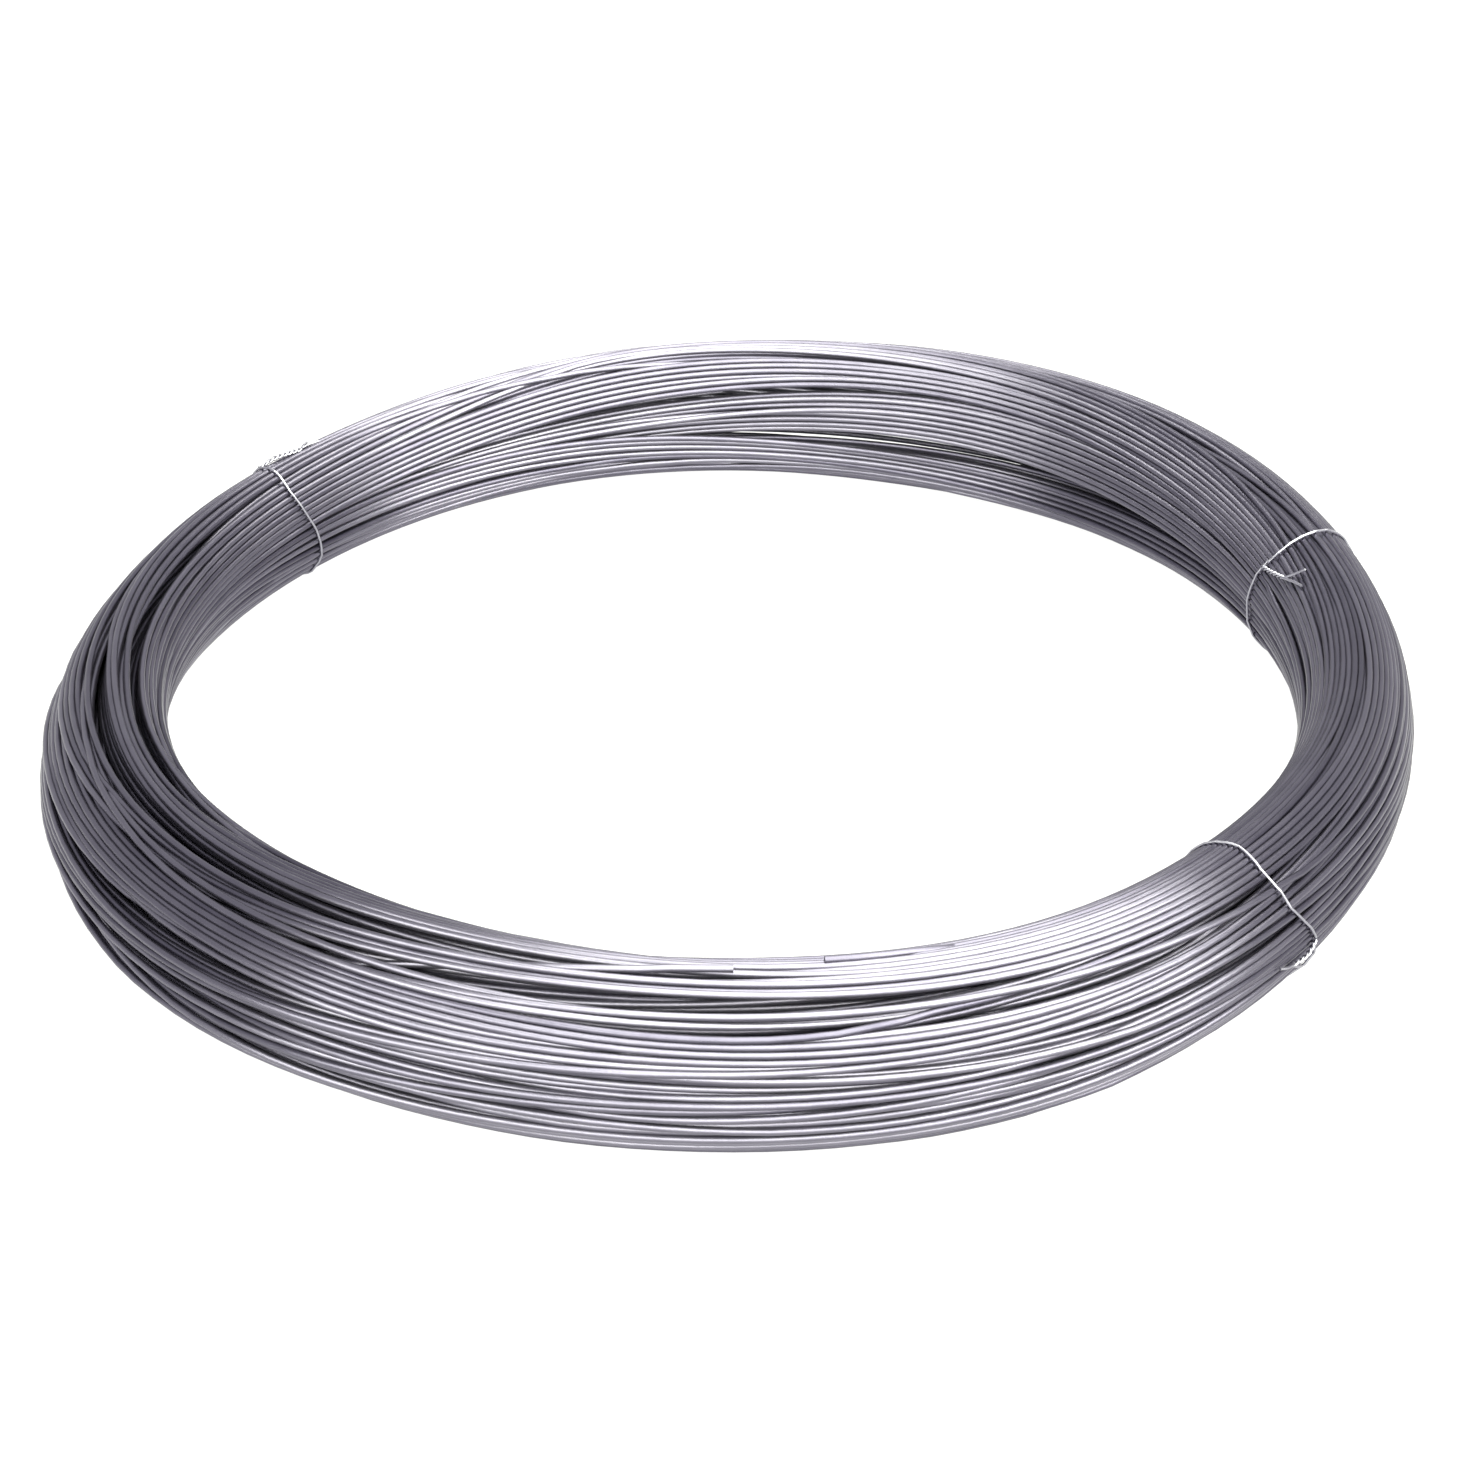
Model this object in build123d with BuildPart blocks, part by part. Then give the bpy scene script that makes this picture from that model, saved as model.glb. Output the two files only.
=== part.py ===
from build123d import *
import math
import os

os.makedirs("parts", exist_ok=True)

# The bundle of turns, wound from galvanised wire
wire_dia = 3.0
bore_dia = 500.0
coil_height = 75.0
crown_radius = 38.0
shoulder_radius = 15.0

# Stretches of the bundle, which slackens and spreads unevenly between its ties: start azimuth,
# end azimuth and radial build of each
stretches = [
    (20.0, 72.0, 60.0),
    (82.0, 136.5, 52.0),
    (151.5, 188.0, 53.0),
    (198.0, 252.0, 66.0),
    (262.0, 309.0, 58.0),
    (324.0, 365.0, 57.0),
]

# The turns that show on both ends, and the one in the middle that the coil rests on
turn_gap = 0.6
turn_groove = 0.6
rest_width = 1.5

# How far the ties draw the turns in
neck_depth = 3.5

# The thin tie wires, their twisted tails and their two cut ends
tie_dia = 1.2
tie_clearance = 0.3
strand_squeeze = 0.84
tail_length = 15.0
tail_pitch = 7.5
tail_lift = 12.0
end_length = 5.0
end_spread = 20.0

# Each tie's azimuth round the coil, the bundle's radial build there before the tie draws it in,
# and the angle round its section where its tail lies
ties = {
    "tie_wire_right": (12.5, 57.0, 130.0),
    "tie_wire_back": (144.0, 52.0, 50.0),
    "tie_wire_front": (316.5, 57.0, 35.0),
}

# Straight facets: each shoulder, half of a tie's crown, and the sides of the tie wire
shoulder_facets = 3
tie_crown_facets = 2
tie_sides = 8
strand_turn = 60.0

# Places that follow from the sizes above
mid_height = coil_height / 2
crown_centre = Vector(0, mid_height - crown_radius)
radius_step = crown_radius - shoulder_radius
tie_inset = neck_depth - tie_clearance - tie_dia / 2
tail_inset = tie_inset - tie_dia / 2
strand_reach = strand_squeeze * tie_dia / 2


def shoulder(build):
    """Give a shoulder's centre and the angle that it turns through, in a section of this build."""
    turn = math.degrees(math.acos((build / 2 - shoulder_radius) / radius_step))
    return crown_centre + Vector(radius_step, 0).rotate(Axis.Z, turn), turn


def end_turn_facets():
    """Count half of the facets that the end turns have, two each, where the bundle is narrowest."""
    narrowest = min(build for start, end, build in stretches)
    half_arc = crown_radius * math.radians(90 - shoulder(narrowest)[1])
    return 2 * int(half_arc / (wire_dia + turn_gap))


def section_quarter(build, inset, crown_steps, groove):
    """List the section's corners from its outer flank to its crown, drawn in by inset."""
    shoulder_centre, shoulder_turn = shoulder(build)
    corners = []
    for step in range(shoulder_facets + 1):
        angle = shoulder_turn * step / shoulder_facets
        corners.append(shoulder_centre + Vector(shoulder_radius - inset, 0).rotate(Axis.Z, angle))
    for step in range(1, crown_steps + 1):
        angle = shoulder_turn + (90 - shoulder_turn) * step / (crown_steps + 0.5)
        reach = crown_radius - inset - groove * (step % 2)
        corners.append(crown_centre + Vector(reach, 0).rotate(Axis.Z, angle))
    return [(corner.X, corner.Y) for corner in corners]


def section_ring(build, quarter):
    """Mirror a quarter of the section into the whole of it, its inner flank at the bore's wall."""
    upper = quarter + [(-x, y) for x, y in reversed(quarter)]
    return [(build / 2 + x, y) for x, y in upper + [(-x, -y) for x, y in upper]]


def across_plane(azimuth):
    """Give the plane across the bundle at an azimuth, from the bore's wall, X outwards and Y up."""
    outwards = Vector(1, 0, 0).rotate(Axis.Z, azimuth)
    wall = outwards * bore_dia / 2 + Vector(0, 0, mid_height)
    return Plane(origin=wall, x_dir=outwards, z_dir=outwards.cross(Vector(0, 0, 1)))


def turns_ring(build, inset):
    """List the corners of the bundle with its end turns, drawn in by inset."""
    quarter = section_quarter(build, inset, end_turn_facets(), turn_groove)
    quarter[-1] = (rest_width / 2, mid_height - inset)
    return section_ring(build, quarter)


def tail_plane(azimuth, build, angle):
    """Give the plane where a twisted tail leaves its loop, Z along the tail."""
    across = across_plane(azimuth)
    facing = Vector(1, 0).rotate(Axis.Z, angle)
    centre = shoulder(build)[0]
    corner = Vector(build / 2 + math.copysign(centre.X, facing.X), centre.Y)
    seat = corner + facing * (shoulder_radius - tail_inset)
    outwards = across.x_dir * facing.X + across.y_dir * facing.Y
    lift = math.radians(tail_lift)
    along = across.z_dir * math.cos(lift) + outwards * math.sin(lift)
    return Plane(across.from_local_coords(seat), x_dir=outwards.cross(along), z_dir=along)


def strand_points(first_angle):
    """List the points of one strand: it winds round the tail's axis, then its end spreads."""
    steps = round(tail_length / tail_pitch * 360 / strand_turn)
    points = []
    for step in range(steps + 1):
        angle = math.radians(first_angle + strand_turn * step)
        x, y = math.cos(angle) * strand_reach, math.sin(angle) * strand_reach
        points.append((x, y, tail_length * step / steps))
    spread = 1 + math.sin(math.radians(end_spread)) * end_length / strand_reach
    rise = math.cos(math.radians(end_spread)) * end_length
    return points + [(x * spread, y * spread, tail_length + rise)]


with BuildPart() as wire_coil:
    stations = [(azimuth, build, neck_depth) for azimuth, build, tail_angle in ties.values()]
    for start, end, build in stretches:
        stations += [(start, build, 0), (end, build, 0)]
    stations.sort()
    first_azimuth, *first_section = stations[0]
    stations.append((first_azimuth + 360, *first_section))
    for (here, *section), (after, *next_section) in zip(stations, stations[1:]):
        with BuildSketch(across_plane(here)):
            Polygon(*turns_ring(*section), align=None)
        if section == next_section:
            revolve(axis=Axis.Z, revolution_arc=after - here)
        else:
            with BuildSketch(across_plane(after)):
                Polygon(*turns_ring(*next_section), align=None)
            loft(ruled=True)
wire_coil.part.label = "wire_coil"
export_step(wire_coil.part, "parts/wire_coil.step")

for name, (azimuth, build, tail_angle) in ties.items():
    across = across_plane(azimuth)
    root = tail_plane(azimuth, build, tail_angle)
    with BuildPart() as tie_wire:
        with BuildLine(across) as loop_route:
            corners = section_quarter(build, tie_inset, tie_crown_facets, 0)
            Polyline((build - tie_inset, 0), *section_ring(build, corners), close=True)
        with BuildSketch(Plane(loop_route.line @ 0, across.x_dir, (0, 0, 1))):
            RegularPolygon(tie_dia / 2, tie_sides)
        sweep(path=loop_route.wire(), transition=Transition.RIGHT)
        for first_angle in (0, 180):
            with BuildLine(root) as strand_route:
                Polyline(*strand_points(first_angle))
            with BuildSketch(Plane(strand_route.line @ 0, z_dir=strand_route.line % 0)):
                RegularPolygon(tie_dia / 2, tie_sides)
            sweep(path=strand_route.wire(), transition=Transition.RIGHT)
    tie_wire.part.label = name
    export_step(tie_wire.part, f"parts/{name}.step")
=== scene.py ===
"""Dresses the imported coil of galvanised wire: its loose turns, its three ties, their finishes, the studio."""

import logging
import math
from dataclasses import dataclass
from enum import Enum

import bpy
import numpy as np
from mathutils import Matrix, Vector


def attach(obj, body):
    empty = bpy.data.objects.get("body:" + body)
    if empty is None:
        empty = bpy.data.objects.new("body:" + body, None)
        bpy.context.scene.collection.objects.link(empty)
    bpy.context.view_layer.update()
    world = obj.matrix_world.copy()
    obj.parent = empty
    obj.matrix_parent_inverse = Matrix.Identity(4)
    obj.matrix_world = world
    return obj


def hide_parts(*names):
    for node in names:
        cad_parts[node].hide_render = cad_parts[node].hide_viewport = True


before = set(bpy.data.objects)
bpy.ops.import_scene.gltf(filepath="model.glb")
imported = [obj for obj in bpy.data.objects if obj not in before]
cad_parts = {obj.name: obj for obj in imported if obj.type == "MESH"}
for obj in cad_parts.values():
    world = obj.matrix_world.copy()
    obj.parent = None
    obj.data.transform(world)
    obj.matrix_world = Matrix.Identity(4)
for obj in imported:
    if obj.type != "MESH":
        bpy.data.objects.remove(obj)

LOG = logging.getLogger("coil")
MM = 0.001
TONE_LAYER = "zinc_tone"

# The steepest angle between two faces that is still shaded as round
ROUND_BELOW = math.radians(60)

# Keeps a length that is divided by away from nought
TINY = 1e-9

# The frame that the camera's focal length was fitted in, and the width of its sensor in millimetres
FRAME_PIXELS = 1470
SENSOR_WIDTH = 36.0

WHITE = (1, 1, 1, 1)


class Slot(Enum):
    """The record's material slots."""

    WIRE = "galvanised_wire"
    TIE = "galvanised_tie_wire"


class Face(Enum):
    """The shapes that the face of a soft box comes in."""

    OBLONG = "RECTANGLE"
    OVAL = "ELLIPSE"


def linear(hex_colour: str) -> tuple[float, float, float, float]:
    """Turn an sRGB hex colour to linear light, by the formula of the sRGB standard.

    Args:
        hex_colour: Six hex digits with a leading hash.

    Returns:
        Red, green, blue and an alpha of 1.
    """
    parts = [int(hex_colour[i : i + 2], 16) / 255 for i in (1, 3, 5)]
    light = [p / 12.92 if p <= 0.04045 else ((p + 0.055) / 1.055) ** 2.4 for p in parts]
    return (*light, 1.0)


def node(
    tree: bpy.types.NodeTree,
    kind: str,
    settings: dict | None = None,
    **links: bpy.types.NodeSocket | float | tuple,
) -> bpy.types.Node:
    """Add a node with its settings and its inputs.

    Args:
        tree: The node tree that it joins.
        kind: The node's type name.
        settings: Attributes of the node to set.
        **links: Its inputs, each a socket to link or a value to set. An input goes by its name, with
            underscores for spaces, or by its place, such as i0.

    Returns:
        The new node.
    """
    made = tree.nodes.new(kind)
    for name, value in (settings or {}).items():
        setattr(made, name, value)
    for name, value in links.items():
        key = int(name[1:]) if name[0] == "i" and name[1:].isdigit() else name.replace("_", " ")
        if isinstance(value, bpy.types.NodeSocket):
            tree.links.new(value, made.inputs[key])
        else:
            made.inputs[key].default_value = value
    return made


def seen_rays(tree: bpy.types.NodeTree) -> bpy.types.NodeSocket:
    """Tell the rays that show a thing, straight or in metal or glass, from those that only light it.

    Args:
        tree: The node tree of the thing.

    Returns:
        A socket that gives 1 to the rays that show it and 0 to the rest.
    """
    most = {"operation": "MAXIMUM"}
    rays = node(tree, "ShaderNodeLightPath").outputs
    bare = node(tree, "ShaderNodeMath", most, i0=rays["Is Camera Ray"], i1=rays["Is Glossy Ray"])
    seen = node(tree, "ShaderNodeMath", most, i0=bare.outputs[0], i1=rays["Is Transmission Ray"])
    return seen.outputs[0]


def near(azimuth: np.ndarray, centre: float, width: float) -> np.ndarray:
    """Give a bell curve round the coil.

    Args:
        azimuth: Angles in degrees.
        centre: Where the bell stands, in degrees.
        width: Its standard deviation, in degrees.

    Returns:
        1 at the centre, falling to 0 away from it.
    """
    away = (azimuth - centre + 180) % 360 - 180
    return np.exp(-0.5 * (away / width) ** 2)


@dataclass(frozen=True)
class Swell:
    """A place round the coil where a size of the bundle differs.

    The centre and width of the place are in degrees, and the amount is in millimetres.
    """

    centre: float
    width: float
    amount: float


def swelling(swells: tuple[Swell, ...], azimuth: np.ndarray) -> np.ndarray:
    """Add up swells at each azimuth."""
    return sum(swell.amount * near(azimuth, swell.centre, swell.width) for swell in swells)


@dataclass(frozen=True)
class Valley:
    """A gap that opens between two groups of turns, from one azimuth to another.

    Its side is the angle round the bundle's section where it opens: 0 faces outwards and 90 up. It drifts
    from the first side to the last one. Angles are in degrees, and the width and depth in millimetres.
    """

    start: float
    end: float
    side_start: float
    side_end: float
    width: float
    depth: float


@dataclass(frozen=True)
class CutEnd:
    """Where an end of the wire lies on the bundle, and how many degrees of it show before it dives in."""

    azimuth: float
    side: float
    shown: float


@dataclass
class BundleForm:
    """The outline of the bundle of turns round the coil, in millimetres and degrees."""

    wire: float = 3.0

    # The bundle's section is an oval, which swells and sinks round the coil
    radius: float = 274.5
    half_width: float = 20.0
    half_height: float = 31.5
    radius_swells: tuple[Swell, ...] = (
        Swell(9, 35, 8.5),
        Swell(105, 20, 1.5),
        Swell(194, 27, 9.0),
    )
    width_swells: tuple[Swell, ...] = (
        Swell(52, 35, 12.0),
        Swell(166, 13, -2.0),
        Swell(224, 24, 19.5),
        Swell(288, 34, 13.0),
    )
    height_swells: tuple[Swell, ...] = (
        Swell(56, 31, 7.0),
        Swell(106, 14, 1.8),
        Swell(273, 42, 6.3),
    )
    lift_swells: tuple[Swell, ...] = (
        Swell(24, 24, 4.8),
        Swell(252, 22, 3.9),
        Swell(326, 15, 5.6),
    )

    # The ties' azimuths, and how far either side they hold the turns together
    ties: tuple[float, ...] = (12.5, 144.0, 316.5)
    tie_reach: float = 13.0

    # The dark gaps between groups of turns, the widest at the left
    valleys: tuple[Valley, ...] = (
        Valley(180, 264, 94, 92, 10.0, 28.0),
        Valley(196, 244, 34, 24, 9.0, 20.0),
        Valley(288, 324, 20, 24, 6.0, 16.0),
        Valley(278, 312, 60, 48, 6.0, 16.0),
        Valley(250, 286, 54, 50, 3.5, 12.0),
        Valley(244, 282, 20, 14, 4.0, 12.0),
        Valley(218, 250, 66, 60, 3.5, 12.0),
        Valley(335, 20, 156, 150, 5.0, 14.0),
        Valley(60, 110, 110, 96, 4.0, 14.0),
    )

    # The wire's two cut ends, both on the inner top at the front
    start_end: CutEnd = CutEnd(277.5, 106.0, 26.0)
    last_end: CutEnd = CutEnd(269.5, 98.0, 32.0)

    def radius_at(self, azimuth: np.ndarray) -> np.ndarray:
        """Give the radius of the bundle's middle."""
        return self.radius + swelling(self.radius_swells, azimuth)

    def width_at(self, azimuth: np.ndarray) -> np.ndarray:
        """Give half the bundle's radial width."""
        return self.half_width + swelling(self.width_swells, azimuth)

    def height_at(self, azimuth: np.ndarray) -> np.ndarray:
        """Give half the bundle's height."""
        return self.half_height + swelling(self.height_swells, azimuth)

    def middle_at(self, azimuth: np.ndarray) -> np.ndarray:
        """Give the height of the bundle's middle, which stands a little off the floor in places."""
        return self.height_at(azimuth) + swelling(self.lift_swells, azimuth)

    def slack_at(self, azimuth: np.ndarray) -> np.ndarray:
        """Give how loose the turns are: 0 at a tie, 1 far from all of them."""
        return np.clip(1 - sum(near(azimuth, tie, self.tie_reach) for tie in self.ties), 0, 1)


@dataclass
class TurnLay:
    """Lays the turns of one long wire in the bundle, pushed off each other but not wholly clear.

    A turn's place is given at each station round the coil, in millimetres outwards and up from the
    bundle's middle. Where turns cross or are pressed together they still overlap: half of those places by
    under 0.2 mm, one in twenty by over 0.8 mm, and the deepest by more than 2 mm.
    """

    form: BundleForm
    turns: int = 260
    stations: int = 144
    seed: int = 5

    # The turns' first order: a close pack, a little narrower than the bundle, filled column by column
    pack_margin: float = 4.0
    pack_columns: int = 8
    pack_rows: int = 16

    # Where in its round a turn steps over to the next one's place, as shares of it, and how steeply
    step_places: tuple[float, float] = (0.1, 0.9)
    step_pace: float = 24.0

    # How far bands of turns and single turns drift, in how many waves round the coil
    bands: int = 20
    band_drift: float = 9.0
    band_waves: tuple[int, ...] = (1, 2, 3, 4)
    turn_drift: float = 0.8
    turn_waves: tuple[int, ...] = (2, 3, 4, 5)
    wave_fade: float = 0.8

    # How far out the two cut ends lie, as a share of the outline, and how firmly they are held there
    end_reach: float = 1.06
    end_hold: float = 0.25

    # The rounds of settling, the share of them after which nothing draws the turns back, how much the
    # first places do so before, and after how many rounds the pairs of close turns are listed again
    rounds: int = 320
    free_after: float = 0.8
    recall: float = 0.01
    relist: int = 8

    # Close pairs are within so many wire diameters. Turns are pushed a little more than one apart, and
    # those that nearly touch cling
    close: float = 1.5
    apart: float = 1.01
    cling_reach: float = 1.3
    cling: float = 0.06
    push_gain: float = 1.6

    # The turns' outward spring in millimetres a round, and how soon it fades towards the middle
    spring: float = 0.015
    spring_fade: float = 0.2

    # How firmly the outline holds the turns at a tie and between the ties
    tie_grip: float = 0.35
    free_grip: float = 0.2

    # How many stations a bend spreads over, at the first rounds and the last, how fast it gets there,
    # and how many stations the line is carried on past its ends while it is straightened
    stiff_start: float = 4.0
    stiff_end: float = 1.6
    stiff_pace: float = 1.3
    run_out: int = 64

    # How bluntly a valley starts and ends, its least depth, and the share of its width opened in a round
    valley_taper: float = 0.8
    valley_floor: float = 0.1
    valley_push: float = 0.3

    def __post_init__(self) -> None:
        """Work out the azimuth and outline of each station, and where the cut ends show."""
        self.azimuth = self.form.ties[0] + 360.0 * np.arange(self.stations) / self.stations
        self.half_size = np.stack([self.form.width_at(self.azimuth), self.form.height_at(self.azimuth)], -1)
        self.limit = self.half_size - self.form.wire / 2
        self.slack = self.form.slack_at(self.azimuth)
        self.grip = self.tie_grip * (1 - self.slack) + self.free_grip * self.slack
        self.chain = self.turns * self.stations
        self.cut_ends = ((0, self.form.start_end), (-1, self.form.last_end))
        self.shown = np.zeros((self.turns, self.stations, 1))
        for turn, end in self.cut_ends:
            self.shown[turn, :, 0] = near(self.azimuth, end.azimuth, end.shown)

    def station_at(self, azimuth: float) -> int:
        """Give the station nearest to an azimuth, counted from the first tie."""
        return round((azimuth - self.form.ties[0]) % 360 / (360.0 / self.stations))

    def by_turn(self, spots: np.ndarray) -> np.ndarray:
        """Fold the points along the wire into turns by stations by 2."""
        return spots.reshape(self.turns, self.stations, 2)

    def packed_order(self) -> np.ndarray:
        """Pack the turns as closely as they go, in the order they are wound.

        Returns:
            One point for each turn, inside a circle of radius 1.
        """
        wire, across, up = self.form.wire, self.form.half_width - self.pack_margin, self.form.half_height
        steps = range(-self.pack_rows, self.pack_rows + 1)
        spots = [
            ((column + 0.5 * (row % 2)) * wire, row * wire * math.sqrt(3) / 2)
            for row in steps
            for column in steps
        ]
        spots = np.array(spots) / (across, up)
        spots = spots[np.argsort(np.hypot(*spots.T))[: self.turns]]
        column = np.round(spots[:, 0] * self.pack_columns).astype(int)
        climb = np.where(column % 2 == 0, spots[:, 1], -spots[:, 1])
        return spots[np.lexsort((climb, column))]

    def wander(
        self, rng: np.random.Generator, count: int, reach: float, waves: tuple[int, ...]
    ) -> np.ndarray:
        """Draw smooth random drifts round the coil, none of them at a tie.

        Args:
            rng: The source of the random numbers.
            count: How many drifts.
            reach: Their typical size in millimetres.
            waves: How many waves there are round the coil, from slow to fast.

        Returns:
            An array of count by stations by 2.
        """
        angle = 2 * math.pi * np.arange(self.stations) / self.stations
        drift = np.zeros((count, self.stations, 2))
        for wave in waves:
            for part in (np.cos(wave * angle), np.sin(wave * angle)):
                drift += rng.normal(size=(count, 1, 2)) / wave**self.wave_fade * part[None, :, None]
        return drift * reach * self.slack[None, :, None]

    def stepped(self, past: np.ndarray) -> np.ndarray:
        """Give how far a turn has stepped over: 0 well before its step, 1 well past it."""
        return 1 / (1 + np.exp(-self.step_pace * past))

    def targets(self) -> np.ndarray:
        """Place each turn where it would lie if no other turn were in its way.

        Returns:
            An array of turns by stations by 2.
        """
        rng = np.random.default_rng(self.seed)
        packed = self.packed_order()
        after = np.vstack([packed[1:], packed[-1:]])
        step = rng.uniform(*self.step_places, (self.turns, 1))
        along = np.arange(self.stations)[None] / self.stations
        first, last = self.stepped(-step), self.stepped(1 - step)
        ease = ((self.stepped(along - step) - first) / (last - first))[..., None]
        place = packed[:, None] * (1 - ease) + after[:, None] * ease
        place = place * self.half_size[None]

        # Three times the points that are needed leave enough of them inside the circle
        heads = rng.uniform(-1, 1, (self.bands * 3, 2))
        heads = heads[np.hypot(*heads.T) < 1][: self.bands]
        band = np.argmin(((packed[:, None] - heads[None]) ** 2).sum(2), 1)
        place += self.wander(rng, len(heads), self.band_drift, self.band_waves)[band]
        place += self.wander(rng, self.turns, self.turn_drift, self.turn_waves)
        for turn, end in self.cut_ends:
            side = math.radians(end.side)
            outside = self.half_size * (math.cos(side), math.sin(side))
            place[turn] += self.shown[turn] * (outside * self.end_reach - place[turn])
        return place

    def touching(self, place: np.ndarray) -> tuple[np.ndarray, np.ndarray]:
        """List the pairs of turns that are close to each other at the same station.

        Args:
            place: The turns' places, by turn and station.

        Returns:
            The first and the second point of each pair, counted along the wire.
        """
        first, second = [], []
        limit = (self.form.wire * self.close) ** 2
        for station in range(self.stations):
            spot = place[:, station]
            gap = ((spot[:, None] - spot[None]) ** 2).sum(2)
            i, j = np.nonzero(np.triu(gap < limit, 1))
            first.append(i * self.stations + station)
            second.append(j * self.stations + station)
        return np.concatenate(first), np.concatenate(second)

    def settle(self) -> np.ndarray:
        """Let the turns find their places.

        Returns:
            An array of turns by stations by 2.
        """
        wanted = self.targets().reshape(self.chain, 2)
        held = (self.end_hold * self.shown).reshape(self.chain, 1)
        spots = wanted.copy()
        for count in range(self.rounds):
            if count % self.relist == 0:
                first, second = self.touching(self.by_turn(spots))
            free = count > self.rounds * self.free_after
            spots = self.straighten(spots, count)
            spots += np.maximum(held, 0 if free else self.recall) * (wanted - spots)
            self.push_apart(spots, first, second)
            place = self.part_valleys(self.ease_out(self.by_turn(spots), 0 if free else self.spring))
            spots = self.hold_in(place).reshape(self.chain, 2)
        return self.by_turn(spots)

    def straighten(self, spots: np.ndarray, count: int) -> np.ndarray:
        """Straighten the wire as its stiffness does.

        Args:
            spots: The points along the wire.
            count: The round of settling, which sets how far a bend spreads.

        Returns:
            The straighter points.
        """
        settled = min(1.0, self.stiff_pace * count / self.rounds)
        reach = self.stiff_start + (self.stiff_end - self.stiff_start) * settled
        ahead = 2 * spots[0] - spots[self.run_out : 0 : -1]
        behind = 2 * spots[-1] - spots[-2 : -self.run_out - 2 : -1]
        line = np.vstack([ahead, spots, behind])
        wave = 2 * math.pi * np.fft.rfftfreq(len(line))
        kept = np.fft.rfft(line, axis=0) / (1 + (wave * reach) ** 4)[:, None]
        return np.fft.irfft(kept, len(line), axis=0)[self.run_out : -self.run_out]

    def push_apart(self, spots: np.ndarray, first: np.ndarray, second: np.ndarray) -> None:
        """Move turns off each other where they overlap, and draw them together where they nearly touch.

        Args:
            spots: The points along the wire, which are moved.
            first: The first point of each close pair.
            second: The second point of each.
        """
        gap = spots[first] - spots[second]
        span = np.sqrt((gap**2).sum(1)) + TINY
        short = self.form.wire * self.apart - span
        clings = (short < 0) & (span < self.form.wire * self.cling_reach)
        short = np.where(clings, short * self.cling, short)
        hit = (short > 0) | clings
        push = gap[hit] / span[hit, None] * (short[hit] * 0.5)[:, None]
        one, two = first[hit], second[hit]
        shared = np.bincount(one, minlength=self.chain) + np.bincount(two, minlength=self.chain)
        for axis in (0, 1):
            there = np.bincount(one, push[:, axis], self.chain)
            back = np.bincount(two, push[:, axis], self.chain)
            spots[:, axis] += (there - back) * self.push_gain / np.maximum(shared, self.push_gain)

    def ease_out(self, place: np.ndarray, spring: float) -> np.ndarray:
        """Let the turns spring outwards from the bundle's middle.

        Args:
            place: The turns' places, by turn and station.
            spring: How far they spring, in millimetres.

        Returns:
            Their new places.
        """
        away = place / self.limit
        away /= np.sqrt((away**2).sum(2))[..., None] + self.spring_fade
        return place + away * spring

    def part_valleys(self, place: np.ndarray) -> np.ndarray:
        """Push the turns out of the gaps between the groups, each turn to the side where most of it lies.

        Args:
            place: The turns' places, by turn and station, which are moved.

        Returns:
            The same array.
        """
        for valley in self.form.valleys:
            part = ((self.azimuth - valley.start) % 360) / ((valley.end - valley.start) % 360)
            here = np.flatnonzero(part < 1)
            part = part[here]
            swell = np.sin(math.pi * part) ** self.valley_taper
            turn = (valley.side_end - valley.side_start + 180) % 360 - 180
            side = np.radians(valley.side_start + turn * part)
            out = np.stack([np.cos(side), np.sin(side)], -1)
            across = np.stack([-out[:, 1], out[:, 0]], -1)
            edge = 1 / np.sqrt(((out / self.half_size[here]) ** 2).sum(1))
            depth = valley.depth * swell + self.valley_floor
            along = (place[:, here] * out).sum(2)
            off = (place[:, here] * across).sum(2)
            hand = np.where((off * swell).sum(1) < 0, -1, 1)[:, None]
            shallow = np.clip((along - (edge - depth)) / depth, 0, 1)
            need = shallow * (valley.width * swell + self.form.wire) / 2
            push = np.clip(need - off * hand, 0, self.form.wire) * (shallow > 0) * self.valley_push
            place[:, here] += (push * hand)[..., None] * across
        return place

    def hold_in(self, place: np.ndarray) -> np.ndarray:
        """Draw the turns that lie outside the bundle's outline back to it, most firmly at the ties.

        Args:
            place: The turns' places, by turn and station.

        Returns:
            Their new places.
        """
        reach = np.sqrt(((place / self.limit) ** 2).sum(2))
        pull = self.grip * np.clip(reach - 1, 0, None) / np.maximum(reach, TINY)
        return place * (1 - pull[..., None])


def tube(name: str, points: np.ndarray, radius: float, steps: int) -> bpy.types.Object:
    """Make a closed round tube along points, as a curve with a bevel turned into a mesh.

    Args:
        name: The piece's name.
        points: The line it follows, in metres.
        radius: Its radius in metres.
        steps: The bevel's resolution.

    Returns:
        The new mesh object.
    """
    curve = bpy.data.curves.new(name, "CURVE")
    curve.dimensions = "3D"
    curve.bevel_depth = radius
    curve.bevel_resolution = steps
    curve.use_fill_caps = True
    curve.twist_mode = "Z_UP"
    line = curve.splines.new("POLY")
    line.points.add(len(points) - 1)
    line.points.foreach_set("co", np.hstack([points, np.ones((len(points), 1))]).ravel())
    made = bpy.data.objects.new(name, curve)
    bpy.context.collection.objects.link(made)
    bpy.ops.object.select_all(action="DESELECT")
    made.select_set(True)
    bpy.context.view_layer.objects.active = made
    bpy.ops.object.convert(target="MESH")
    made = bpy.context.view_layer.objects.active
    bpy.ops.object.shade_smooth_by_angle(angle=ROUND_BELOW)
    return made


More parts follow.
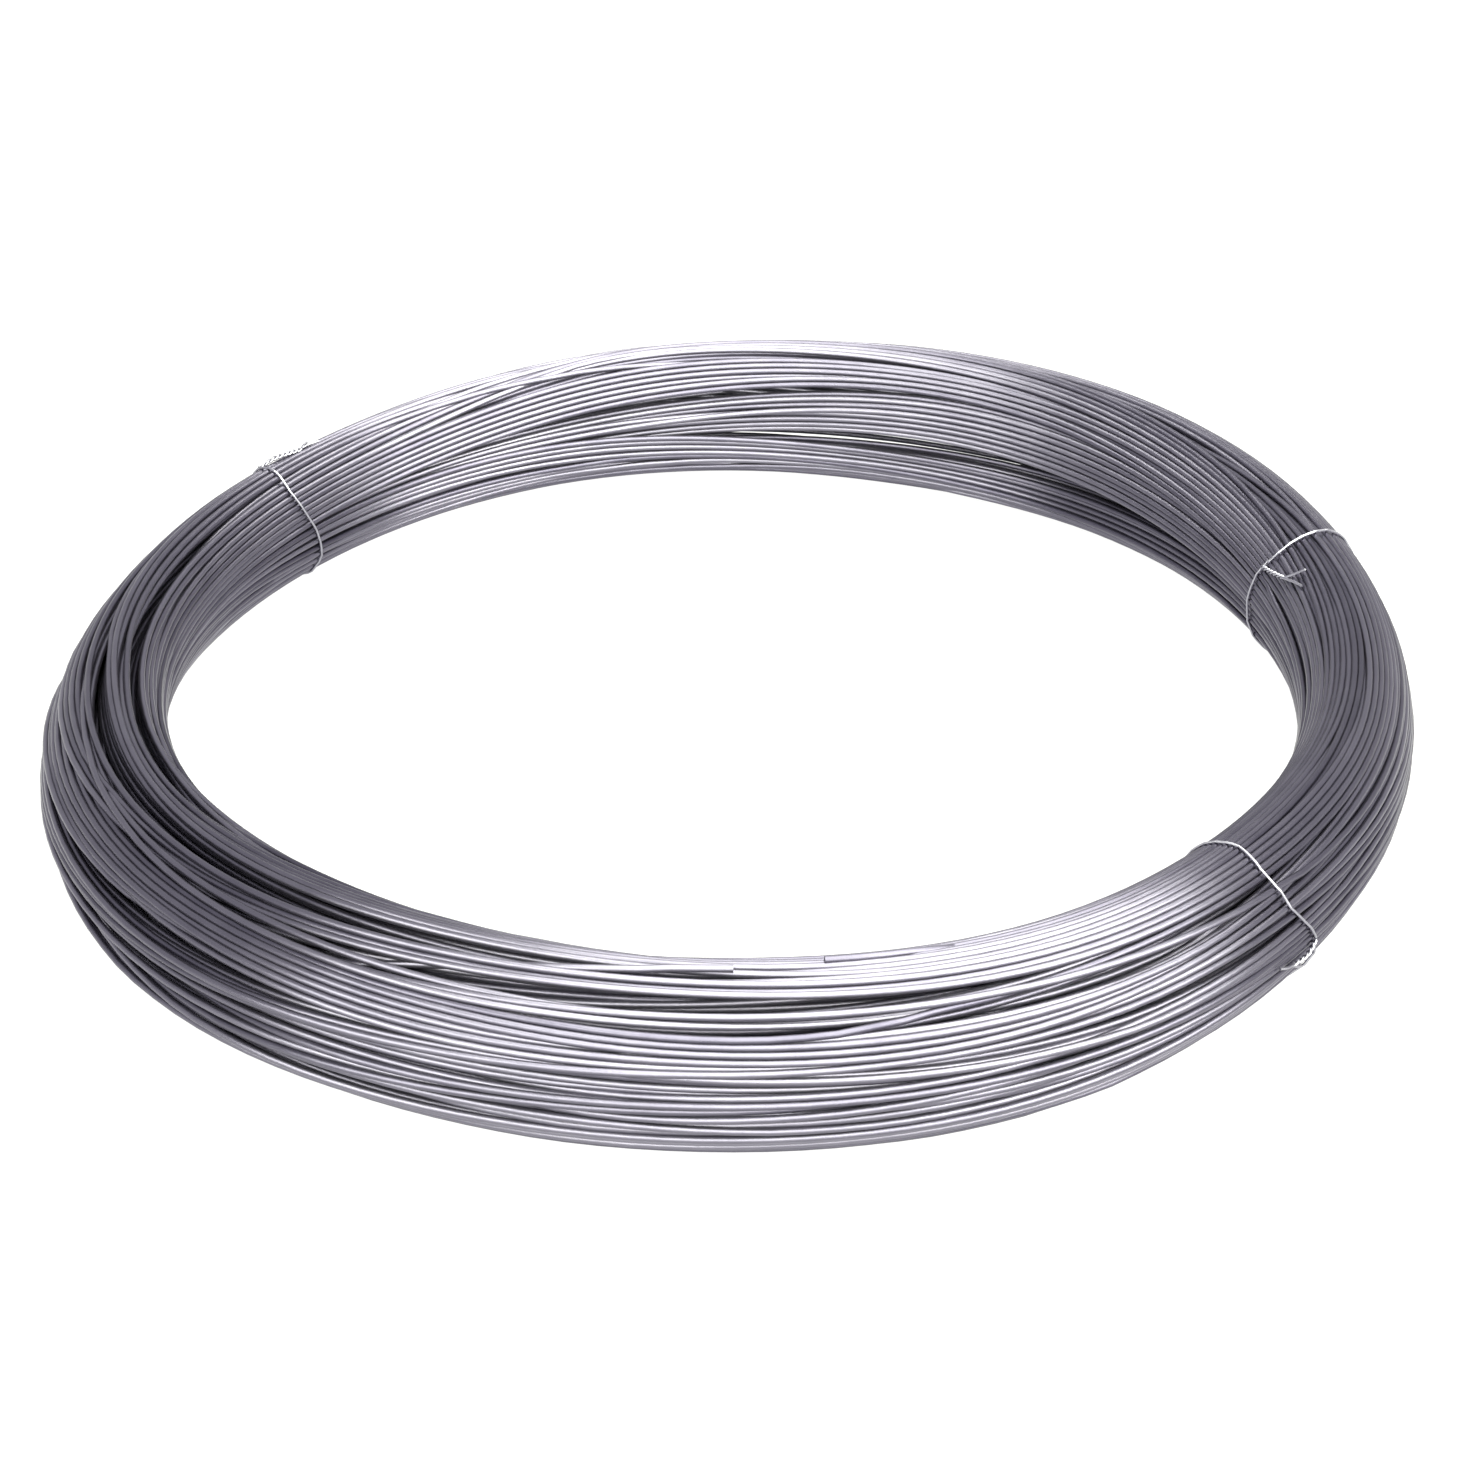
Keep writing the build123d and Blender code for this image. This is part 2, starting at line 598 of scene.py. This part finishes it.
@dataclass
class WireCoil:
    """The coil itself: every turn of the one wire, in a few pieces."""

    form: BundleForm
    lay: TurnLay
    pieces: int = 4
    bevel_steps: int = 2

    # The zinc's tone changes at so many knots a turn, swings this far, and is levelled over a few knots
    tone_knots: int = 5
    tone_swing: float = 0.28
    tone_window: int = 9

    def __post_init__(self) -> None:
        """Lay the turns, and leave out what lies past the wire's two cut ends."""
        self.places = self.lay.settle()
        cut_off = np.delete(np.arange(self.lay.chain), self.kept())
        self.places.reshape(-1, 2)[cut_off] = np.nan
        out, up = self.places[..., 0], self.places[..., 1]
        self.radius = self.form.radius_at(self.lay.azimuth) + out
        self.height = np.maximum(self.form.middle_at(self.lay.azimuth) + up, self.form.wire / 2)

    def kept(self) -> slice:
        """Give the part of the laid line that is wire: it starts and ends at the two cut ends."""
        skipped = self.lay.station_at(self.form.start_end.azimuth)
        spare = self.lay.stations - 1 - self.lay.station_at(self.form.last_end.azimuth)
        return slice(skipped, self.lay.chain - spare)

    def path(self) -> np.ndarray:
        """Run the wire through all its turns.

        Returns:
            Points in metres, one for each station of each turn.
        """
        angle = np.radians(self.lay.azimuth)
        points = np.stack([self.radius * np.cos(angle), self.radius * np.sin(angle), self.height], -1)
        return points.reshape(-1, 3)[self.kept()] * MM

    def tones(self) -> np.ndarray:
        """Draw how pale the zinc is along the wire: it differs from turn to turn and slowly along each.

        Returns:
            A tone from 0 to 1 for each point of the path.
        """
        rng = np.random.default_rng(self.lay.seed + 1)
        count = self.lay.turns * self.tone_knots
        knots = np.cumsum(rng.normal(size=count))
        padded = np.pad(knots, self.tone_window // 2, mode="edge")
        knots -= np.convolve(padded, np.ones(self.tone_window) / self.tone_window, "valid")
        along = np.arange(self.lay.chain) * (count - 1) / (self.lay.chain - 1)
        slow = np.interp(along, np.arange(count), knots)
        return np.clip(0.5 + self.tone_swing * slow, 0, 1)[self.kept()]

    def build(self) -> list[bpy.types.Object]:
        """Make the turns as tubes, each piece a run of turns.

        Returns:
            The pieces, in the order they are wound.
        """
        points, tones = self.path(), self.tones()
        made = []
        run = self.lay.turns // self.pieces * self.lay.stations
        for index in range(self.pieces):
            part = slice(index * run, None if index == self.pieces - 1 else (index + 1) * run + 1)
            piece = tube(f"wire_turns_{index + 1}", points[part], self.form.wire * MM / 2, self.bevel_steps)
            corners = len(piece.data.vertices)
            shades = np.repeat(tones[part], corners // len(points[part]))
            tone = piece.data.attributes.new(TONE_LAYER, "FLOAT", "POINT")
            tone.data.foreach_set("value", np.pad(shades, (0, corners - len(shades)), mode="edge"))
            made.append(piece)
        return made

    def section(self, azimuth: float, spread: float) -> np.ndarray:
        """Give the turns' places across the bundle near an azimuth.

        Args:
            azimuth: Where the section is, in degrees.
            spread: How far either side the turns are still taken in, in degrees.

        Returns:
            Points in millimetres: the radius from the coil's axis, and the height.
        """
        away = np.abs((self.lay.azimuth - azimuth + 180) % 360 - 180)
        here = np.flatnonzero(away <= spread)
        spots = np.stack([self.radius[:, here], self.height[:, here]], -1).reshape(-1, 2)
        return spots[np.isfinite(spots).all(1)]

    def centre(self, azimuth: float) -> np.ndarray:
        """Give the middle of the bundle at an azimuth, as a radius and a height."""
        at = np.array([azimuth])
        return np.array([self.form.radius_at(at)[0], self.form.middle_at(at)[0]])


def facing(side: float) -> np.ndarray:
    """Give the direction that faces a side of the bundle: 0 degrees is outwards and 90 up."""
    return np.array([math.cos(math.radians(side)), math.sin(math.radians(side))])


def placed(radius: float, azimuth: float, height: float) -> np.ndarray:
    """Turn a radius, an azimuth in degrees and a height, in millimetres, into a point in metres."""
    angle = math.radians(azimuth)
    return np.array([radius * math.cos(angle), radius * math.sin(angle), height]) * MM


def unit(vectors: np.ndarray) -> np.ndarray:
    """Scale each vector to a length of 1."""
    return vectors / np.linalg.norm(vectors, axis=1)[:, None]


def smooth_line(points: np.ndarray, step: float) -> np.ndarray:
    """Run a smooth line through points, as a Catmull-Rom spline.

    Args:
        points: The points that it passes.
        step: About how far apart the points of the line are, in the same unit.

    Returns:
        The points of the line.
    """
    padded = np.vstack([2 * points[0] - points[1], points, 2 * points[-1] - points[-2]])
    line = []
    for before, start, stop, after in zip(padded, padded[1:], padded[2:], padded[3:]):
        count = max(1, round(float(np.linalg.norm(stop - start)) / step))
        for t in np.arange(count) / count:
            bend = (stop - before) * t + (2 * before - 5 * start + 4 * stop - after) * t**2
            line.append(start + 0.5 * (bend + (3 * start - before - 3 * stop + after) * t**3))
    return np.array([*line, points[-1]])


@dataclass
class TieWire:
    """A thin wire drawn round the bundle, its two ends twisted together and cut off.

    The route pairs a side of the bundle with the azimuth where the loop crosses it, and the knot is the
    side where the ends meet. The points of the tail and the tips of the two ends are each degrees round
    the coil from the knot, a side, and millimetres above the turns.
    """

    node: str
    coil: WireCoil
    route: tuple[tuple[float, float], ...]
    knot: float
    tail: tuple[tuple[float, float, float], ...]
    ends: tuple[tuple[float, float, float], ...]
    diameter: float = 1.2
    bevel_steps: int = 2

    # How far either side the turns are taken in that the loop and the tail rest on, in degrees
    loop_spread: float = 3.0
    tail_spread: float = 2.0

    # The loop's points start and stop just off the knot, in degrees round the section
    loop_start: int = 6
    loop_stop: int = 355
    loop_turn: int = 4
    loop_step: float = 2.0

    # The twist's pitch and the distance between its points, in millimetres, and how far each strand lies
    # off the tail's axis, in diameters
    pitch: float = 6.0
    grain: float = 0.5
    strand_off: float = 0.52

    # Each end bends at a point between its strand and its tip, by these shares, and so much higher
    bend_shares: tuple[float, float] = (0.45, 0.55)
    bend_lift: float = 0.6

    def __post_init__(self) -> None:
        """Work out how far the tie's middle line lies off that of a turn it rests on."""
        self.rest = (self.coil.form.wire + self.diameter) / 2

    def azimuth_at(self, side: float) -> float:
        """Give the loop's azimuth at an angle round the section."""
        sides, azimuths = np.array(sorted(self.route)).T
        return float(np.interp(side % 360, sides, azimuths, period=360))

    def taut(self, side: float) -> np.ndarray:
        """Find where the taut loop lies, resting on the turns that stand out most.

        Args:
            side: The side of the bundle that the loop faces there, in degrees.

        Returns:
            The point in metres.
        """
        middle = self.azimuth_at(self.knot)
        turns = self.coil.section(middle, self.loop_spread)
        out = facing(side)
        spot = turns[np.argmax(turns @ out)] + out * self.rest
        away = spot - self.coil.centre(middle)
        azimuth = self.azimuth_at(math.degrees(math.atan2(away[1], away[0])))
        return placed(spot[0], azimuth, max(spot[1], self.diameter / 2))

    def seated(self, azimuth: float, side: float, lift: float) -> np.ndarray:
        """Find a point of the tail on the turns or over them.

        Args:
            azimuth: The point's azimuth in degrees.
            side: The side of the bundle that it is on, in degrees.
            lift: How far it lies above the turns, in millimetres.

        Returns:
            The point in metres.
        """
        middle = self.coil.centre(azimuth)
        away = self.coil.section(azimuth, self.tail_spread) - middle
        out = facing(side)
        off = np.abs(away @ np.array([-out[1], out[0]]))
        under = off < self.rest
        height = (away @ out)[under] + np.sqrt(self.rest**2 - off[under] ** 2)
        spot = middle + out * (height.max() + lift)
        return placed(spot[0], azimuth, spot[1])

    def strands(self) -> tuple[np.ndarray, np.ndarray]:
        """Wind the two ends round each other along the tail, then part them.

        Returns:
            The points of each strand, from the knot outwards.
        """
        root = self.azimuth_at(self.knot)
        axis = np.array([self.seated(root + turn, side, lift) for turn, side, lift in self.tail])
        axis = smooth_line(axis, self.grain * MM)
        along = unit(np.gradient(axis, axis=0))
        right = unit(np.cross(along, unit(axis * (1, 1, 0))))
        above = np.cross(right, along)
        run = np.concatenate([[0], np.cumsum(np.linalg.norm(np.diff(axis, axis=0), axis=1))])
        twist = 2 * math.pi * run / (self.pitch * MM)
        near_share, far_share = self.bend_shares
        made = []
        for start, (turn, side, lift) in zip((0, math.pi), self.ends):
            swing = np.cos(twist + start)[:, None] * right + np.sin(twist + start)[:, None] * above
            strand = axis + swing * self.diameter * MM * self.strand_off
            tip = self.seated(root + turn, side, lift)
            bend = strand[-1] * near_share + tip * far_share + above[-1] * self.bend_lift * MM
            end = smooth_line(np.array([strand[-1], bend, tip]), 2 * self.grain * MM)
            made.append(np.vstack([strand, end[1:]]))
        return made[0], made[1]

    def build(self) -> bpy.types.Object:
        """Make the tie: in along one strand, round the bundle, and out along the other.

        Returns:
            The new mesh object.
        """
        turns = np.arange(self.loop_start, self.loop_stop, self.loop_turn)
        loop = np.array([self.taut(self.knot + turn) for turn in turns])
        first, second = self.strands()
        line = np.vstack([first[::-1], smooth_line(loop, self.loop_step * MM), second])
        return tube(f"{self.node}_twisted", line, self.diameter * MM / 2, self.bevel_steps)


def ties(coil: WireCoil) -> list[TieWire]:
    """List the three ties that hold the coil.

    Args:
        coil: The coil that they rest on.

    Returns:
        The ties at the back, the right and the front.
    """
    return [
        TieWire(
            "tie_wire_back",
            coil,
            route=((78, 146.0), (120, 146.5), (150, 145.5), (178, 144.5), (224, 143.5), (330, 144.5)),
            knot=74.0,
            tail=((0.0, 74, 0.4), (-1.8, 80, 1.4), (-5.0, 83, 1.0)),
            ends=((-7.4, 84, 0.6), (-6.6, 76, 0.8)),
        ),
        TieWire(
            "tie_wire_right",
            coil,
            route=((48, 15.5), (90, 14.0), (118, 13.5), (146, 14.5), (206, 15.5), (300, 14.0)),
            knot=141.0,
            tail=((0.0, 141, 0.4), (-2.0, 137, 1.6), (-4.2, 131, 1.6)),
            ends=((-5.8, 113, 2.0), (-7.0, 121, 0.8)),
        ),
        TieWire(
            "tie_wire_front",
            coil,
            route=(
                (36, 317.0),
                (66, 316.2),
                (94, 317.0),
                (120, 317.0),
                (230, 317.5),
                (330, 321.0),
                (356, 320.0),
            ),
            knot=350.0,
            tail=((0.0, 350, 0.4), (-1.6, 347, 1.8), (-3.4, 347, 1.2)),
            ends=((-5.0, 352, 0.8), (-1.8, 336, 1.6)),
        ),
    ]


@dataclass(frozen=True)
class GalvanisedSteelWire:
    """Drawn steel wire with a hot-dip zinc coat: a cool violet-grey metal, satin, with long bright streaks.

    The streaks are the drawn grain, which spreads a highlight along the wire. The tone of the zinc differs
    from turn to turn, and a fine blotch, some 17 mm across, lies over it.
    """

    name: str = "galvanised_steel_wire"
    dark: str = "#43404e"
    pale: str = "#7a7784"
    roughness: float = 0.34
    toned: bool = True

    # How strong the drawn grain is, and how far it is turned from the coil's axis, in full turns
    grain: float = 0.85
    grain_turn: float = 0.25

    # The blotch's scale and detail, and its share in the tone next to that of each turn
    blotches_a_metre: float = 60.0
    blotch_detail: float = 4.0
    blotch_share: float = 0.35

    def material(self) -> bpy.types.Material:
        """Build the finish.

        Returns:
            The new material.
        """
        made = bpy.data.materials.new(self.name)
        made.use_nodes = True
        tree = made.node_tree
        tree.nodes.clear()
        place = node(tree, "ShaderNodeTexCoord").outputs["Object"]
        blotch = node(
            tree, "ShaderNodeTexNoise", Vector=place, Scale=self.blotches_a_metre, Detail=self.blotch_detail
        )
        paleness = blotch.outputs["Fac"]
        if self.toned:
            tone = node(tree, "ShaderNodeAttribute", {"attribute_name": TONE_LAYER}).outputs["Fac"]
            both = node(tree, "ShaderNodeMix", Factor=self.blotch_share, A=tone, B=paleness)
            paleness = both.outputs[0]
        dark, pale = linear(self.dark), linear(self.pale)
        tint = node(tree, "ShaderNodeMix", {"data_type": "RGBA"}, Factor=paleness, A=dark, B=pale)
        drawn = node(tree, "ShaderNodeTangent", {"direction_type": "RADIAL", "axis": "Z"})
        shader = node(
            tree,
            "ShaderNodeBsdfPrincipled",
            Base_Color=tint.outputs["Result"],
            Metallic=1.0,
            Roughness=self.roughness,
            Anisotropic=self.grain,
            Anisotropic_Rotation=self.grain_turn,
            Tangent=drawn.outputs[0],
        )
        node(tree, "ShaderNodeOutputMaterial", Surface=shader.outputs["BSDF"])
        return made


@dataclass(frozen=True)
class BrightGalvanisedTieWire(GalvanisedSteelWire):
    """Thin soft steel wire with a bright, newer zinc coat: paler than the coil, and of one tone."""

    name: str = "bright_galvanised_tie_wire"
    dark: str = "#7a7884"
    pale: str = "#a8a7b1"
    roughness: float = 0.32
    toned: bool = False


@dataclass(frozen=True)
class SoftBox:
    """A soft box of the studio: its place, aim, width and depth in metres, and its power in watts."""

    name: str
    place: tuple[float, float, float]
    aim: tuple[float, float, float]
    size: tuple[float, float]
    power: float
    face: Face = Face.OBLONG

    def hang(self, tint: tuple[float, float, float]) -> None:
        """Hang the soft box.

        Args:
            tint: The red, green and blue of its light, from 0 to 1.
        """
        data = bpy.data.lights.new(self.name, "AREA")
        data.shape, data.size, data.size_y, data.energy = self.face.value, *self.size, self.power
        data.color = tint
        made = bpy.data.objects.new(self.name, data)
        made.location = self.place
        made.rotation_euler = (Vector(self.aim) - Vector(self.place)).to_track_quat("-Z", "Y").to_euler()
        bpy.context.collection.objects.link(made)


@dataclass
class Studio:
    """A pale floor, soft lamps, a white surround, and the camera where the photograph was taken from."""

    # The camera's place and aim, in shares of the coil's middle radius, and its angles in degrees
    scale: float = 272.7 * MM
    distance: float = 5.0
    elevation: float = 32.167
    aim: tuple[float, float] = (0.004, -0.176)
    middle: float = 0.1376
    lens: float = 2968.5 / FRAME_PIXELS * SENSOR_WIDTH
    roll: float = -0.135

    # The floor's width in metres, its own colour, and how much of white it has where it is seen
    floor_size: float = 12.0
    floor_colour: str = "#616161"
    floor_glow: float = 0.92

    # The surround's strength as a light, and where it is seen: 1 is white
    surround_light: float = 0.5
    surround_seen: float = 1.0

    # A little less blue than white keeps the zinc's highlights neutral
    lamp_tint: tuple[float, float, float] = (0.97, 1.0, 0.84)
    lamps: tuple[SoftBox, ...] = (
        SoftBox("overhead_softbox", (0.22, 0.05, 1.5), (0.22, 0.05, 0), (1.5, 2.4), 100, Face.OVAL),
        SoftBox("front_softbox", (0.25, -2.3, 1.5), (0, 0, 0), (3.2, 1.8), 220),
        SoftBox("left_softbox", (-1.8, -1.6, 1.5), (0, 0, 0), (1.7, 1.8), 115),
        SoftBox("right_softbox", (2.05, -1.25, 1.5), (0, 0, 0), (1.7, 1.8), 160),
    )

    def camera(self) -> None:
        """Stand the camera at the photograph's viewing angle."""
        data = bpy.data.cameras.new("camera")
        data.lens, data.sensor_width = self.lens, SENSOR_WIDTH
        made = bpy.data.objects.new("camera", data)
        bpy.context.collection.objects.link(made)
        tilt = math.radians(self.elevation)
        back = Vector((0, -math.cos(tilt), math.sin(tilt))) * self.distance + Vector((0, 0, self.middle))
        target = Vector((*self.aim, self.middle))
        view = (target - back).to_track_quat("-Z", "Y").to_matrix()
        turn = Matrix.Rotation(math.radians(self.roll), 3, "Z")
        made.matrix_world = Matrix.Translation(back * self.scale) @ (view @ turn).to_4x4()
        bpy.context.scene.camera = made

    def floor(self) -> None:
        """Lay the pale floor, which stays white to the camera and keeps the coil's shadow."""
        bpy.ops.mesh.primitive_plane_add(size=self.floor_size, location=(0, 0, 0))
        made = bpy.context.active_object
        made.name = "floor"
        skin = bpy.data.materials.new("white_paper_floor")
        skin.use_nodes = True
        tree = skin.node_tree
        tree.nodes.clear()
        paper = node(tree, "ShaderNodeBsdfDiffuse", Color=linear(self.floor_colour)).outputs[0]
        glow = node(tree, "ShaderNodeEmission", Color=WHITE, Strength=self.floor_glow).outputs[0]
        both = node(tree, "ShaderNodeAddShader", i0=paper, i1=glow).outputs[0]
        mix = node(tree, "ShaderNodeMixShader", i0=seen_rays(tree), i1=paper, i2=both).outputs[0]
        node(tree, "ShaderNodeOutputMaterial", Surface=mix)
        made.data.materials.append(skin)

    def surround(self) -> None:
        """Make the world white to the camera and in reflections, and dimmer as a light."""
        world = bpy.data.worlds.new("white_surround")
        bpy.context.scene.world = world
        world.use_nodes = True
        tree = world.node_tree
        tree.nodes.clear()
        reach = {"To_Min": self.surround_light, "To_Max": self.surround_seen}
        power = node(tree, "ShaderNodeMapRange", Value=seen_rays(tree), **reach).outputs[0]
        sky = node(tree, "ShaderNodeBackground", Color=WHITE, Strength=power).outputs[0]
        node(tree, "ShaderNodeOutputWorld", Surface=sky)

    def build(self) -> None:
        """Set the whole studio."""
        self.camera()
        self.floor()
        self.surround()
        for lamp in self.lamps:
            lamp.hang(self.lamp_tint)
        bpy.context.scene.view_settings.view_transform = "Standard"


def main() -> None:
    """Build the coil, its ties and the studio, and report each piece."""
    logging.basicConfig(level=logging.INFO, format="%(message)s")
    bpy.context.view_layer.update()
    form = BundleForm()
    coil = WireCoil(form, TurnLay(form))
    wire_finish = GalvanisedSteelWire().material()
    for piece in coil.build():
        piece.data.materials.append(wire_finish)
        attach(piece, "root")
        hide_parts("wire_coil")
        LOG.info("%s: %d faces", piece.name, len(piece.data.polygons))
    tie_finish = BrightGalvanisedTieWire().material()
    for tie in ties(coil):
        piece = tie.build()
        piece.data.materials.append(tie_finish)
        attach(piece, "root")
        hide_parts(tie.node)
        LOG.info("%s: %d faces", piece.name, len(piece.data.polygons))
    Studio().build()


if __name__ == "__main__":
    main()
